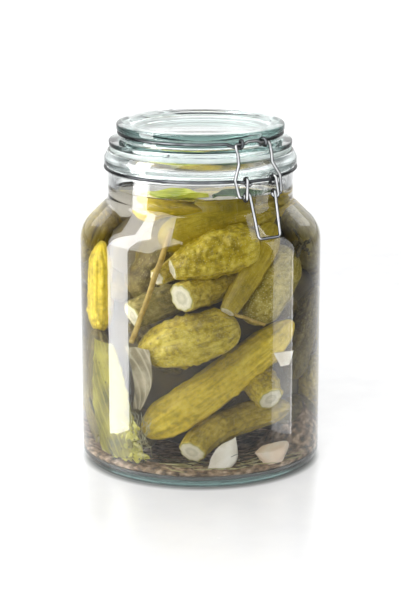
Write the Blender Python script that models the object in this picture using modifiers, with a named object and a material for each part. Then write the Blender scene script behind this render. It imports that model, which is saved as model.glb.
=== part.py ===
"""A large glass preserving jar with a clip top, packed with pickled gherkins.

The jar stands on its base at the origin, with +Z up. The clasp is at -Y and the hinge at +Y.
Lengths in the tables and profiles below are in millimetres, and MM turns them into metres.
"""

import math
import random
from collections import namedtuple

import bmesh
import bpy
from mathutils import Matrix, Vector

MM = 0.001

# Glass body
BODY_RADIUS = 77.5
BODY_WALL = 4.0
SHOULDER_HEIGHT = 154.2  # where the wall's line meets the shoulder's slope
NECK_RADIUS = 59.4
NECK_WALL = 4.2
NECK_FOOT_HEIGHT = 172.2
RING_RADIUS = 61.8  # the bead round the mouth, above the neck band
RIM_HEIGHT = 204.0
RIM_RADIUS = 59.4
MOUTH_RADIUS = 50.5
FLOOR_HEIGHT = 6.0

# Lid and gasket
LEDGE_RADIUS = 58.8
LEDGE_HEIGHT = 207.0
GROOVE_RADIUS = 50.8
FLANGE_RADIUS = 53.9
FLANGE_HEIGHT = 216.8
LID_TOP = 221.9
PLUG_RADIUS = 49.2
GASKET_INNER = 51.4
GASKET_OUTER = 58.2
CLEARANCE = 0.3

# Wires
WIRE = 2.1  # diameter
EYE_RADIUS = WIRE + CLEARANCE  # centre line of an eye wound round another wire
NECK_BAND_RADIUS = 61.0
NECK_BAND_HEIGHT = 192.9
LID_BAND_RADIUS = 52.35
LID_BAND_HEIGHT = 214.9
HINGE_Y = 66.0
HINGE_HEIGHT = 204.0
FULCRUM_Y = -65.3
FULCRUM_HEIGHT = 193.2
LINK_BAR_Y = -57.1
LINK_BAR_HEIGHT = 215.3
LINK_FOOT_Y = -66.3
LINK_FOOT_HEIGHT = 184.0
LEVER_END_Y = -76.3
LEVER_END_HEIGHT = 159.0

# Contents
SURFACE_HEIGHT = 179.0  # of the brine, which the two top leaves float on
PACKED_TURN = math.radians(-34.0)  # the tables' front, measured round from -Y
GHERKIN_SIDES = 6
RING_PLACES = (0.0, 0.04, 0.15, 0.32, 0.5, 0.68, 0.85, 0.96, 1.0)
ROUND_END = (0.0, 0.52, 0.88)
CUT_END = (0.0, 1.0, 1.0)

# Places are (right, front, up) as seen from the packed side.
# Radii are at the first end, the middle and the second end. A cut end is flat.
Piece = namedtuple("Piece", "start end radii cuts sag sides flat")


def piece(start, end, radii, cuts=(False, False), sag=(0, 0, 0), sides=GHERKIN_SIDES, flat=1.0):
    """A flat of under 1 presses the piece from front to back."""
    return Piece(Vector(start), Vector(end), radii, cuts, Vector(sag), sides, flat)


PACKED_GHERKINS = [
    piece((-24, 48, 151), (32, 22, 167), (10.0, 11.5, 10.0)),
    piece((-16, 55, 138), (34, 42, 150), (6.5, 11.5, 12.5), (True, False)),
    piece((12, 34, 151), (42, 14, 163), (8.0, 9.0, 8.0)),
    piece((-11, 60, 121), (24, 26, 129), (9.4, 10.0, 8.0), (True, False)),
    piece((-25, 50, 132), (-10, 34, 137), (5.0, 6.0, 6.0), (True, False)),
    piece((-39, 44, 106), (-8, 30, 119), (8.4, 9.4, 9.0), (True, False)),
    piece((16, 59, 112), (43, 32, 158), (5.5, 7.8, 7.5), (True, False)),
    piece((28, 47, 102), (51, 24, 142), (11.0, 14.0, 12.0)),
    piece((-36, 46, 82), (22, 50, 102), (8.5, 15.5, 14.0), sag=(0, 5, 0)),
    piece((-33, 44, 29), (52, 26, 98), (13.2, 12.4, 10.5), sag=(0, 5, -2)),
    piece((-5, 57, 20.5), (50, 24, 41), (8.4, 9.6, 9.0), (True, False), sag=(-6.5, -5.5, 3.75)),
    piece((41, 46, 52), (26, 24, 68), (8.4, 10.0, 8.0), (True, False)),
    piece((-54, 9, 87), (-54, 14, 143), (8.0, 8.5, 7.5)),
    piece((-56, 18, 22), (-55, 11, 90), (8.5, 9.5, 8.5)),
    piece((53, 28, 60), (58, -8, 112), (8.5, 10.5, 9.0)),
    piece((-36, 12, 157), (16, -4, 166), (9.0, 10.0, 9.0)),
    piece((-4, -28, 157), (40, -12, 164), (9.0, 10.5, 9.0)),
    piece((-24, 29, 84), (18, 33, 98), (11.0, 13.0, 11.0)),
    piece((-34, 16, 112), (-8, 24, 156), (11.0, 13.0, 11.0)),
    piece((-2, 26, 148), (32, 10, 158), (10.0, 12.0, 10.0)),
]
GARLIC = [
    piece((4, 65, 9.5), (22, 58, 32), (1.0, 7.5, 1.2), sag=(3, 0, -2), flat=0.6),
    piece((32, 54, 20), (53, 41, 21), (2.5, 8.5, 5.0), sag=(0, 0, -3), flat=0.7),
    piece((42, 40, 80), (48, 37, 73), (3.4, 4.4, 3.4), sides=5),
]
STALKS = [
    piece((-17, 51, 160), (-41, 51, 90), (1.6, 1.6, 1.9), sag=(0, 3, 0), sides=5),
    piece((20, 62, 111), (38, 54, 102), (1.2, 1.2, 1.2), sides=5),
]
CORE = piece((0, -10, 10), (0, -10, 164), (50.0, 54.0, 40.0), sides=12, flat=0.74)
BED = piece((0, 0, 7.3), (0, 0, 14), (68.0, 68.0, 66.0), (True, True), sides=18)

# Height of the middle, half height, reach of the wall, first bearing in degrees, and how many
BACK_TIERS = ((44, 23, 71.5, 105, 5), (89, 24, 69.5, 113, 4), (132, 21, 66.0, 106, 4))

TURN_STEPS = 32
BAND_STEPS = 13
EYE_STEP = 45.0  # degrees of an eye for each straight piece
CHORD_ERROR = 0.2  # how far an arc's straight pieces may leave the arc


def clear_scene():
    for obj in list(bpy.data.objects):
        bpy.data.objects.remove(obj, do_unlink=True)


def collection(name):
    made = bpy.data.collections.new(name)
    bpy.context.scene.collection.children.link(made)
    return made


def material(name, color, roughness, metallic=0.0, transmission=0.0):
    made = bpy.data.materials.new(name)
    made.use_nodes = True
    made.diffuse_color = (*color, 1.0)
    shader = made.node_tree.nodes["Principled BSDF"]
    shader.inputs["Base Color"].default_value = (*color, 1.0)
    shader.inputs["Roughness"].default_value = roughness
    shader.inputs["Metallic"].default_value = metallic
    shader.inputs["Transmission Weight"].default_value = transmission
    return made


def add_object(name, data, finish, home):
    obj = bpy.data.objects.new(name, data)
    data.materials.append(finish)
    home.objects.link(obj)
    return obj


def rounded(corners):
    """Points, in metres, of a path through (x, y, z, bend radius) corners in millimetres."""
    places = [Vector(corner[:3]) * MM for corner in corners]
    points = [places[0]]
    for before, here, after, corner in zip(places, places[1:], places[2:], corners[1:]):
        back = (before - here).normalized()
        ahead = (after - here).normalized()
        half = back.angle(ahead) / 2
        radius = corner[3] * MM
        if corner[3] <= CHORD_ERROR or half > math.radians(89.5):
            points.append(here)
            continue
        centre = here + (back + ahead).normalized() * radius / math.sin(half)
        arm = here + back * radius / math.tan(half) - centre
        sweep = math.pi - 2 * half
        count = math.ceil(sweep / (2 * math.acos(1 - CHORD_ERROR / corner[3])))
        axis = ahead.cross(back)
        for index in range(count + 1):
            turn = Matrix.Rotation(sweep * index / count, 3, axis)
            points.append(centre + turn @ arm)
    points.append(places[-1])
    return points


def turned(name, corners, finish, home, closed=False):
    """A Screw about Z of a profile of (radius, height, bend radius) corners.

    The profile runs up the inner side and down the outer one.
    """
    points = rounded([(radius, 0.0, height, bend) for radius, height, bend in corners])
    mesh = bpy.data.meshes.new(name)
    edges = [(index, index + 1) for index in range(len(points) - 1)]
    if closed:
        edges.append((len(points) - 1, 0))
    mesh.from_pydata(points, edges, [])
    obj = add_object(name, mesh, finish, home)
    screw = obj.modifiers.new("Turn", "SCREW")
    screw.steps = TURN_STEPS
    screw.render_steps = TURN_STEPS
    screw.use_merge_vertices = True
    screw.merge_threshold = 0.00001
    screw.use_smooth_shade = True
    return obj


def wire(name, points, finish, home, cyclic=False):
    """A round wire as a bevelled curve through points in metres."""
    curve = bpy.data.curves.new(name, "CURVE")
    curve.dimensions = "3D"
    curve.bevel_depth = WIRE / 2 * MM
    curve.bevel_resolution = 2
    curve.use_fill_caps = True
    spline = curve.splines.new("POLY")
    spline.points.add(len(points) - 1)
    for target, point in zip(spline.points, points):
        target.co = (*point, 1.0)
    spline.use_cyclic_u = cyclic
    spline.use_smooth = True
    return add_object(name, curve, finish, home)


def mirrored(points):
    """The half path's mirror in X, run backwards, so that both halves make one path."""
    return [Vector((-point.x, point.y, point.z)) for point in reversed(points)]


def eye(centre_y, centre_z, x_start, x_end, start, sweep):
    """Points of a helix about an X axis. Angles run from +Y towards +Z, in degrees."""
    count = round(abs(sweep) / EYE_STEP)
    points = []
    for index in range(count + 1):
        part = index / count
        angle = math.radians(start + sweep * part)
        x = x_start + (x_end - x_start) * part
        y = centre_y + EYE_RADIUS * math.cos(angle)
        z = centre_z + EYE_RADIUS * math.sin(angle)
        points.append(Vector((x, y, z)) * MM)
    return points


def band_arc(radius, height, start_x, start_sign, end_x, end_sign):
    """Points of a circle about Z, on the +X side, from one X to another.

    A sign of -1 is the clasp's side and +1 the hinge's.
    """
    start = math.atan2(start_sign * math.sqrt(radius**2 - start_x**2), start_x)
    end = math.atan2(end_sign * math.sqrt(radius**2 - end_x**2), end_x)
    points = []
    for index in range(BAND_STEPS + 1):
        angle = start + (end - start) * index / BAND_STEPS
        points.append(Vector((radius * math.cos(angle), radius * math.sin(angle), height)) * MM)
    return points


def from_packed_side(place):
    """A (right, front, up) place in millimetres as a place of the part in metres."""
    right, front, up = place
    return Matrix.Rotation(PACKED_TURN, 3, "Z") @ Vector((right, -front, up)) * MM


# ---------------------------------------------------------------- glass


def make_jar(finish, home):
    inner_body = BODY_RADIUS - BODY_WALL
    inner_neck = NECK_RADIUS - NECK_WALL
    corners = [
        (0.0, FLOOR_HEIGHT + 1.0, 0.0),
        (45.0, FLOOR_HEIGHT + 0.6, 30.0),
        (62.0, FLOOR_HEIGHT - 0.6, 10.0),
        (inner_body, FLOOR_HEIGHT - 0.6, 4.5),
        (inner_body, SHOULDER_HEIGHT - 1.6, 16.0),
        (inner_neck, NECK_FOOT_HEIGHT - 1.6, 8.0),
        (inner_neck, 191.0, 4.0),
        (MOUTH_RADIUS, 197.0, 4.0),
        (MOUTH_RADIUS, RIM_HEIGHT, 1.2),
        (RIM_RADIUS, RIM_HEIGHT, 1.4),
        (RING_RADIUS, 199.6, 3.0),
        (RING_RADIUS, 195.4, 1.0),
        (NECK_RADIUS, 194.8, 0.8),
        (NECK_RADIUS, NECK_FOOT_HEIGHT, 6.0),
        (BODY_RADIUS, SHOULDER_HEIGHT, 20.0),
        (BODY_RADIUS, 0.0, 7.5),
        (66.0, 0.0, 2.0),
        (60.0, 1.8, 8.0),
        (0.0, 2.4, 0.0),
    ]
    return turned("jar", corners, finish, home)


def make_lid(finish, home):
    corners = [
        (0.0, 218.9, 0.0),
        (42.5, 218.9, 0.0),
        (45.5, 221.2, 0.0),
        (50.0, LID_TOP, 0.0),
        (FLANGE_RADIUS, LID_TOP - 1.0, 1.4),
        (FLANGE_RADIUS, FLANGE_HEIGHT, 0.8),
        (GROOVE_RADIUS, FLANGE_HEIGHT, 0.8),
        (GROOVE_RADIUS, 211.0, 1.2),
        (LEDGE_RADIUS, 210.2, 1.0),
        (LEDGE_RADIUS, LEDGE_HEIGHT, 0.6),
        (PLUG_RADIUS, LEDGE_HEIGHT, 0.0),
        (PLUG_RADIUS, 200.8, 1.6),
        (44.0, 200.8, 1.6),
        (43.0, 211.0, 3.0),
        (0.0, 212.8, 0.0),
    ]
    return turned("lid", corners, finish, home)


def make_gasket(finish, home):
    low = RIM_HEIGHT + CLEARANCE
    high = LEDGE_HEIGHT - CLEARANCE
    middle = (GASKET_INNER + GASKET_OUTER) / 2
    corners = [
        (middle, low, 0.0),
        (GASKET_INNER, low, 0.0),
        (GASKET_INNER, high, 0.0),
        (GASKET_OUTER, high, 0.6),
        (GASKET_OUTER, low, 0.0),
    ]
    return turned("gasket", corners, finish, home, closed=True)


# ---------------------------------------------------------------- wires


def make_neck_band(finish, home):
    """One closed wire: a ring under the bead, a fulcrum bar in front and a hinge bar behind."""
    front = rounded(
        [
            (0.0, FULCRUM_Y, FULCRUM_HEIGHT, 0.0),
            (12.6, FULCRUM_Y, FULCRUM_HEIGHT, 2.0),
            (15.6, -58.82, NECK_BAND_HEIGHT, 0.0),
        ]
    )
    side = band_arc(NECK_BAND_RADIUS, NECK_BAND_HEIGHT, 17.2, -1, 17.0, 1)
    back = rounded(
        [
            (15.0, 59.0, NECK_BAND_HEIGHT, 0.0),
            (13.2, HINGE_Y, NECK_BAND_HEIGHT, 2.4),
            (12.9, HINGE_Y, HINGE_HEIGHT, 2.2),
            (0.0, HINGE_Y, HINGE_HEIGHT, 0.0),
        ]
    )
    half = front + side + back
    points = half + mirrored(half)[1:-1]
    return wire("neck_band", points, finish, home, cyclic=True)


def make_lid_band(finish, home):
    """One wire round the lid's groove: its front ends are wound round the link's bar,
    and behind it is wound twice round the hinge bar, with a short bridge between."""
    front = eye(LINK_BAR_Y, LINK_BAR_HEIGHT, 7.1, 9.4, -60.0, 330.0)
    leave = rounded(
        [
            (9.4, LINK_BAR_Y, LINK_BAR_HEIGHT - EYE_RADIUS, 0.0),
            (10.4, -54.2, LINK_BAR_HEIGHT - EYE_RADIUS, 2.0),
            (14.6, -50.3, LID_BAND_HEIGHT, 0.0),
        ]
    )
    side = band_arc(LID_BAND_RADIUS, LID_BAND_HEIGHT, 16.6, -1, 16.0, 1)
    arm = rounded(
        [
            (14.2, 50.6, LID_BAND_HEIGHT, 0.0),
            (10.4, 62.6, LID_BAND_HEIGHT - 1.0, 4.0),
            (9.6, HINGE_Y + EYE_RADIUS, HINGE_HEIGHT, 0.0),
        ]
    )
    hinge = eye(HINGE_Y, HINGE_HEIGHT, 9.5, 5.6, 0.0, -540.0)
    bridge = rounded(
        [
            (5.5, HINGE_Y - EYE_RADIUS, HINGE_HEIGHT + 0.6, 0.0),
            (5.3, HINGE_Y - EYE_RADIUS, 209.6, 2.0),
            (0.0, HINGE_Y - EYE_RADIUS, 209.6, 0.0),
        ]
    )
    half = front + leave[1:] + side + arm[:-1] + hinge + bridge
    points = half + mirrored(half)[1:]
    return wire("lid_band", points, finish, home)


def make_link(finish, home):
    """The upper bail. Its arched bar hangs in the lid band's eyes and its feet point inwards."""
    half = rounded(
        [
            (0.0, LINK_BAR_Y, LINK_BAR_HEIGHT + 1.2, 0.0),
            (3.2, LINK_BAR_Y, LINK_BAR_HEIGHT + 1.2, 4.0),
            (5.8, LINK_BAR_Y, LINK_BAR_HEIGHT, 4.0),
            (12.8, LINK_BAR_Y, LINK_BAR_HEIGHT, 1.6),
            (12.6, -60.0, 209.0, 4.0),
            (12.6, -60.8, 203.0, 3.0),
            (17.0, -63.2, 194.6, 3.0),
            (15.8, LINK_FOOT_Y, LINK_FOOT_HEIGHT, 1.5),
            (13.3, LINK_FOOT_Y, LINK_FOOT_HEIGHT, 0.0),
        ]
    )
    points = mirrored(half)[:-1] + half
    return wire("link", points, finish, home)


def make_lever(finish, home):
    """The handle: an eye round the fulcrum bar, an eye for the link's foot, then a long loop."""
    fulcrum = Vector((FULCRUM_Y, FULCRUM_HEIGHT))
    foot = Vector((LINK_FOOT_Y, LINK_FOOT_HEIGHT))
    end = Vector((LEVER_END_Y, LEVER_END_HEIGHT))

    def leaving_angle(start, stop):
        """The angle on an eye at start from which the wire runs straight to stop."""
        along = (stop - start).normalized()
        return math.degrees(math.atan2(-along.x, along.y)) % 360

    arm_angle = leaving_angle(fulcrum, foot)
    leg_angle = leaving_angle(foot, end)
    top = eye(*fulcrum, 8.5, 10.8, arm_angle - 335, 335)
    bottom = eye(*foot, 11.9, 9.5, arm_angle, leg_angle + 360 - arm_angle)
    loop = rounded(
        [
            tuple(bottom[-1] / MM) + (0.0,),
            (8.1, LEVER_END_Y, LEVER_END_HEIGHT, 2.4),
            (0.0, LEVER_END_Y, LEVER_END_HEIGHT, 0.0),
        ]
    )
    half = top + bottom + loop[1:]
    points = half + mirrored(half)[1:]
    return wire("lever", points, finish, home)


# ---------------------------------------------------------------- contents


def filling_radius(part, radii):
    """The radius along a piece, through its three radii."""
    first, middle, last = radii
    if part < 0.5:
        return first + (middle - first) * math.sin(math.pi * part)
    return last + (middle - last) * math.sin(math.pi * part)


def make_piece(name, shape, finish, home):
    """A sphere drawn out along a sagging line, with each end rounded or cut flat."""
    mesh = bpy.data.meshes.new(name)
    shaped = bmesh.new()
    rings = len(RING_PLACES) - 1
    bmesh.ops.create_uvsphere(shaped, u_segments=shape.sides, v_segments=rings, radius=1.0)
    straight = shape.end - shape.start
    ends = [CUT_END if cut else ROUND_END for cut in shape.cuts]
    for vertex in shaped.verts:
        ring = round(math.acos(max(-1.0, min(1.0, -vertex.co.z))) / math.pi * rings)
        part = RING_PLACES[ring]
        radius = filling_radius(part, shape.radii)
        if ring < len(ROUND_END):
            radius *= ends[0][ring]
            part *= not (shape.cuts[0] and ring == 1)
        elif rings - ring < len(ROUND_END):
            radius *= ends[1][rings - ring]
            part = 1.0 if shape.cuts[1] and ring == rings - 1 else part
        middle = shape.start + straight * part + shape.sag * 4 * part * (1 - part)
        along = straight + shape.sag * 4 * (1 - 2 * part)
        across = Vector((vertex.co.x, vertex.co.y, 0.0))
        if across.length > 0.001:
            across.normalize()
        spread = along.to_track_quat("Z", "Y") @ across
        spread.y *= shape.flat
        vertex.co = from_packed_side(middle + spread * radius)
    bmesh.ops.recalc_face_normals(shaped, faces=shaped.faces)
    shaped.to_mesh(mesh)
    shaped.free()
    return add_object(name, mesh, finish, home)


def back_gherkins():
    """Gherkins that lean against the rest of the wall, in the tiers of BACK_TIERS."""
    draw = random.Random(11)
    found = []
    for middle_height, half_height, wall, first, count in BACK_TIERS:
        for index in range(count):
            around = math.radians(first + 41 * index + draw.uniform(-5, 5))
            lean = math.radians(draw.uniform(15, 23)) * (1 if index % 2 else -1)
            radius = draw.uniform(10.0, 13.0)
            reach = wall - radius
            height = middle_height + draw.uniform(-3, 3)
            ends = [
                (
                    reach * math.sin(around + side * lean),
                    reach * math.cos(around + side * lean),
                    height + side * half_height,
                )
                for side in (-1, 1)
            ]
            out = reach * (1 - math.cos(lean))
            sag = (out * math.sin(around), out * math.cos(around), 0)
            radii = (radius * 0.85, radius, radius * 0.8)
            found.append(piece(ends[0], ends[1], radii, (index % 3 == 1, False), sag))
    return found


def keep_outer_body(mesh):
    """Keeps the largest connected body and drops scraps and sealed hollows."""
    body = bmesh.new()
    body.from_mesh(mesh)
    unseen = set(body.verts)
    islands = []
    while unseen:
        stack = [unseen.pop()]
        island = list(stack)
        while stack:
            for edge in stack.pop().link_edges:
                for vertex in edge.verts:
                    if vertex in unseen:
                        unseen.remove(vertex)
                        stack.append(vertex)
                        island.append(vertex)
        islands.append(island)
    islands.sort(key=len)
    for island in islands[:-1]:
        bmesh.ops.delete(body, geom=island, context="VERTS")
    body.to_mesh(mesh)
    body.free()


def make_heap(finish, home):
    """Gherkins, garlic and dill stalks fused over one core into one body."""
    heap = make_piece("gherkin_heap", CORE, finish, home)
    fused = collection("fused_into_heap")
    for number, shape in enumerate([BED] + PACKED_GHERKINS + GARLIC + STALKS + back_gherkins()):
        make_piece(f"fused_{number}", shape, finish, fused)
    union = heap.modifiers.new("Fuse", "BOOLEAN")
    union.operation = "UNION"
    union.operand_type = "COLLECTION"
    union.collection = fused
    bpy.context.view_layer.update()
    joined = bpy.data.meshes.new_from_object(heap.evaluated_get(bpy.context.evaluated_depsgraph_get()))
    heap.modifiers.clear()
    heap.data = joined
    keep_outer_body(joined)
    for obj in list(fused.objects):
        bpy.data.objects.remove(obj, do_unlink=True)
    bpy.data.collections.remove(fused)
    return heap


def make_leaf(name, place, finish, home, thickness=0.7):
    """A thin wavy sheet. place(along, across) gives a (right, front, up) place for 0..1, -1..1."""
    mesh = bpy.data.meshes.new(name)
    sheet = bmesh.new()
    bmesh.ops.create_grid(sheet, x_segments=8, y_segments=5, size=1.0)
    bmesh.ops.triangulate(sheet, faces=sheet.faces)
    for vertex in sheet.verts:
        vertex.co = from_packed_side(place((vertex.co.x + 1) / 2, vertex.co.y))
    sheet.to_mesh(mesh)
    sheet.free()
    obj = add_object(name, mesh, finish, home)
    solidify = obj.modifiers.new("Thickness", "SOLIDIFY")
    solidify.thickness = thickness * MM
    solidify.offset = 0.0
    return obj


def floating_leaf(start, end, half_width, wave):
    """A leaf blade on the brine, widest before its middle, with a raised wavy edge."""

    def place(along, across):
        straight = Vector(end) - Vector(start)
        side = Vector((-straight.y, straight.x, 0.0)).normalized()
        width = half_width * (0.08 + 0.92 * math.sin(math.pi * along**0.8))
        lift = wave * (across**2 + 0.6 * math.sin(7 * along + 2 * across))
        return Vector(start) + straight * along + side * width * across + Vector((0, 0, lift))

    return place


def wall_leaf(along, across):
    """A long leaf that stands against the wall, low on the packed side's left."""
    height = 14 + 73 * along
    width = 15 * math.sin(math.pi * (0.2 + 0.7 * along)) ** 0.6
    around = math.radians(-47 - 9 * along + width * across)
    reach = 71.7 + 0.8 * math.sin(9 * along + 2.5 * across)
    return Vector((reach * math.sin(around), reach * math.cos(around), height))


def main():
    clear_scene()
    home = collection("clip_top_jar")
    glass = material("green_tinted_glass", (0.72, 0.85, 0.82), 0.05, transmission=0.9)
    silicone = material("clear_gasket", (0.86, 0.86, 0.82), 0.4)
    steel = material("bright_wire", (0.72, 0.72, 0.72), 0.15, metallic=1.0)
    make_jar(glass, home)
    make_lid(glass, home)
    make_gasket(silicone, home)
    make_neck_band(steel, home)
    make_lid_band(steel, home)
    make_link(steel, home)
    make_lever(steel, home)
    pickled = material("pickled_gherkin", (0.42, 0.36, 0.03), 0.4)
    leafy = material("leaf", (0.45, 0.5, 0.04), 0.5)
    make_heap(pickled, home)
    top = SURFACE_HEIGHT + 1.2
    make_leaf("top_leaf", floating_leaf((-37, 27, top), (5, 37, top), 14, 2.2), leafy, home)
    make_leaf("green_leaf", floating_leaf((8, 37, top), (46, 17, top), 14, 1.4), leafy, home)
    make_leaf("wall_leaf", wall_leaf, leafy, home)


main()
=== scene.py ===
import random
from collections import namedtuple
from functools import partial
from math import acos, atan2, ceil, cos, degrees, exp, pi, radians, sin, sqrt, tan

import bpy
import numpy as np
from mathutils import Matrix, Vector, noise


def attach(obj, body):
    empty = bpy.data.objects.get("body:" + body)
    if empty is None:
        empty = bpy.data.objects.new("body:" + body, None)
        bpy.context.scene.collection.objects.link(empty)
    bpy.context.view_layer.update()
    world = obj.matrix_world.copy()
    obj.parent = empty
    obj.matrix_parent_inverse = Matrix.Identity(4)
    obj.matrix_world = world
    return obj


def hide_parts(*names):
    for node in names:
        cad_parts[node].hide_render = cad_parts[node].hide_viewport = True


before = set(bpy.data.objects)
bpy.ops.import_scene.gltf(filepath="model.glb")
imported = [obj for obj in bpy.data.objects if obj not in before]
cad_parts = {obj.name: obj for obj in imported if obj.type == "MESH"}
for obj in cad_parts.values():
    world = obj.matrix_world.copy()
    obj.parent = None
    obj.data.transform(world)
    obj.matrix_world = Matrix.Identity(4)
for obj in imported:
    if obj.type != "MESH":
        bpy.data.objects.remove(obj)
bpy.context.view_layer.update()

MM = 0.001

# ---- colours and nodes

WHITE = (1, 1, 1, 1)
MIX_A = 6  # the colour inputs of a Mix node
MIX_B = 7


def colour(hex_code):
    """An sRGB hex colour as the linear colour a shader takes."""
    channels = []
    for place in (0, 2, 4):
        value = int(hex_code[place : place + 2], 16) / 255
        channels.append(value / 12.92 if value <= 0.04045 else ((value + 0.055) / 1.055) ** 2.4)
    return (*channels, 1)


def add_node(tree, kind, inputs=None, stops=None, **properties):
    """Adds a node. Each input takes a value, or another node or one of its outputs to link it to.

    A node stands for its first output in use. Stops are a colour ramp's (place, hex colour) pairs.
    """
    made = tree.nodes.new("ShaderNode" + kind)
    for name, value in properties.items():
        setattr(made, name, value)
    for name, value in (inputs or {}).items():
        if isinstance(value, bpy.types.Node):
            value = next(output for output in value.outputs if output.enabled)
        if isinstance(value, bpy.types.NodeSocket):
            tree.links.new(value, made.inputs[name])
        else:
            made.inputs[name].default_value = value
    if stops:
        elements = made.color_ramp.elements
        while len(elements) < len(stops):
            elements.new(0.5)
        for element, (place, code) in zip(elements, stops):
            element.position = place
            element.color = colour(code)
    return made


def new_material(name):
    """An empty material, with what adds nodes to it and the place on the object."""
    made = bpy.data.materials.new(name)
    made.use_nodes = True
    made.node_tree.nodes.clear()
    add = partial(add_node, made.node_tree)
    return made, add, add("TexCoord").outputs["Object"]


def layered(add, base, layers):
    """A colour with tints laid over it in turn.

    A layer is what drives it, two values of that, how much tint shows at each of them, and the tint.
    """
    for driver, low, high, at_low, at_high, tint in layers:
        span = {"From Min": low, "From Max": high, "To Min": at_low, "To Max": at_high}
        amount = add("MapRange", {"Value": driver, **span})
        base = add("Mix", {0: amount, MIX_A: base, MIX_B: colour(tint)}, data_type="RGBA")
    return base


def textured(add, pattern, gloss, strength, height, relief=None):
    """A shader's roughness and normal, from a pattern. The relief may have a pattern of its own.

    Gloss is the roughness where the pattern is 0 and 1. The height of the relief is in millimetres.
    """
    rough = add("MapRange", {"Value": pattern, "To Min": gloss[0], "To Max": gloss[1]})
    raised = {"Height": relief or pattern, "Strength": strength, "Distance": height * MM}
    return {"Roughness": rough, "Normal": add("Bump", raised)}


def finished(made, add, looks):
    """Ends a material in one shader. Its looks are the shader's inputs."""
    add("OutputMaterial", {"Surface": add("BsdfPrincipled", looks)})
    return made


def clear_body(made, add, looks, shadow, tint, tint_depth):
    """Ends a clear material, which is tinted by its depth and lets lamps shine through it.

    The wetted attribute is 1 where brine lies on the glass, which hardly shines there.
    """
    wetted = add("Attribute", attribute_name="wetted").outputs["Fac"]
    shine = add("MapRange", {"Value": wetted, "To Min": 1, "To Max": 0.1})
    clear = {"Base Color": WHITE, "Transmission Weight": 1, "Specular Tint": shine}
    shader = add("BsdfPrincipled", {**clear, **looks})
    from_lamp = add("LightPath").outputs["Is Shadow Ray"]
    through = add("BsdfTransparent", {"Color": shadow})
    mix = add("MixShader", {0: from_lamp, 1: shader, 2: through})
    depth = add("VolumeAbsorption", {"Color": colour(tint), "Density": tint_depth})
    add("OutputMaterial", {"Surface": mix, "Volume": depth})
    return made


def clear_glass(name, tint, tint_depth, ripple_size, ripple):
    """Pressed glass: nearly colourless through a wall, sea green through an edge.

    Slow ripples in the surface bend what is seen through it. The misted attribute is 1 where a thin
    mist inside the neck blurs what is behind it.
    """
    made, add, place = new_material(name)
    waves = add("TexNoise", {"Vector": place, "Scale": ripple_size, "Detail": 2})
    smears = add("TexNoise", {"Vector": place, "Scale": 90, "Detail": 3})
    rough = add("MapRange", {"Value": smears, "To Min": 0.005, "To Max": 0.016})
    misted = add("Attribute", attribute_name="misted").outputs["Fac"]
    misty = add("Math", {0: misted, 1: 0.18, 2: rough}, operation="MULTIPLY_ADD")
    bump = add("Bump", {"Height": waves, "Strength": 1, "Distance": ripple * MM})
    looks = {"Roughness": misty, "IOR": 1.5, "Normal": bump}
    return clear_body(made, add, looks, (0.97, 0.97, 0.97, 1), tint, tint_depth)


def brine_liquid():
    """Cloudy pickling brine: clear at the wall and a warm grey-brown further in."""
    made, add, place = new_material("cloudy_brine")
    film = add("TexNoise", {"Vector": place, "Scale": 60, "Detail": 3})
    looks = {"IOR": 1.33, **textured(add, film, (0, 0.04), 0.3, 0.2)}
    return clear_body(made, add, looks, WHITE, "C4B698", 10)


def plated_wire(name, dull, bright):
    """Plated spring steel with drawing marks and spots, bright along its middle and dark at its edges: the
    darkening towards its edges as seen is a painted reflection of dark surroundings.
    """
    made, add, place = new_material(name)
    marks = add("TexNoise", {"Vector": place, "Scale": 700, "Detail": 4})
    spots = add("TexNoise", {"Vector": place, "Scale": 120, "Detail": 2})
    tone = add("ValToRGB", {"Fac": spots}, stops=[(0.3, dull), (0.7, bright)])
    # Painted reflection: the colour darkens towards the edges as seen, standing in for dark surroundings
    # reflected in the plating.
    edge = add("LayerWeight", {"Blend": 0.5}).outputs["Facing"]
    tone_with_painted_dark_edges = layered(add, tone, [(edge, 0.06, 0.24, 0, 0.97, "1C1E20")])
    looks = {"Base Color": tone_with_painted_dark_edges, "Metallic": 0.35, "Specular Tint": (0.15, 0.15, 0.15, 1)}
    return finished(made, add, {**looks, **textured(add, spots, (0.08, 0.26), 0.25, 0.05, marks)})


def seal_rubber():
    """Pale translucent seal: milky, soft and a little dusty."""
    made, add, place = new_material("milky_silicone_seal")
    cloud = add("TexNoise", {"Vector": place, "Scale": 150, "Detail": 4})
    tone = add("ValToRGB", {"Fac": cloud}, stops=[(0.3, "DDE5E2"), (0.7, "F1F5F3")])
    looks = {"Base Color": tone, "Transmission Weight": 0.6, "IOR": 1.4}
    return finished(made, add, {**looks, **textured(add, cloud, (0.35, 0.55), 0.3, 0.1)})


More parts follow.
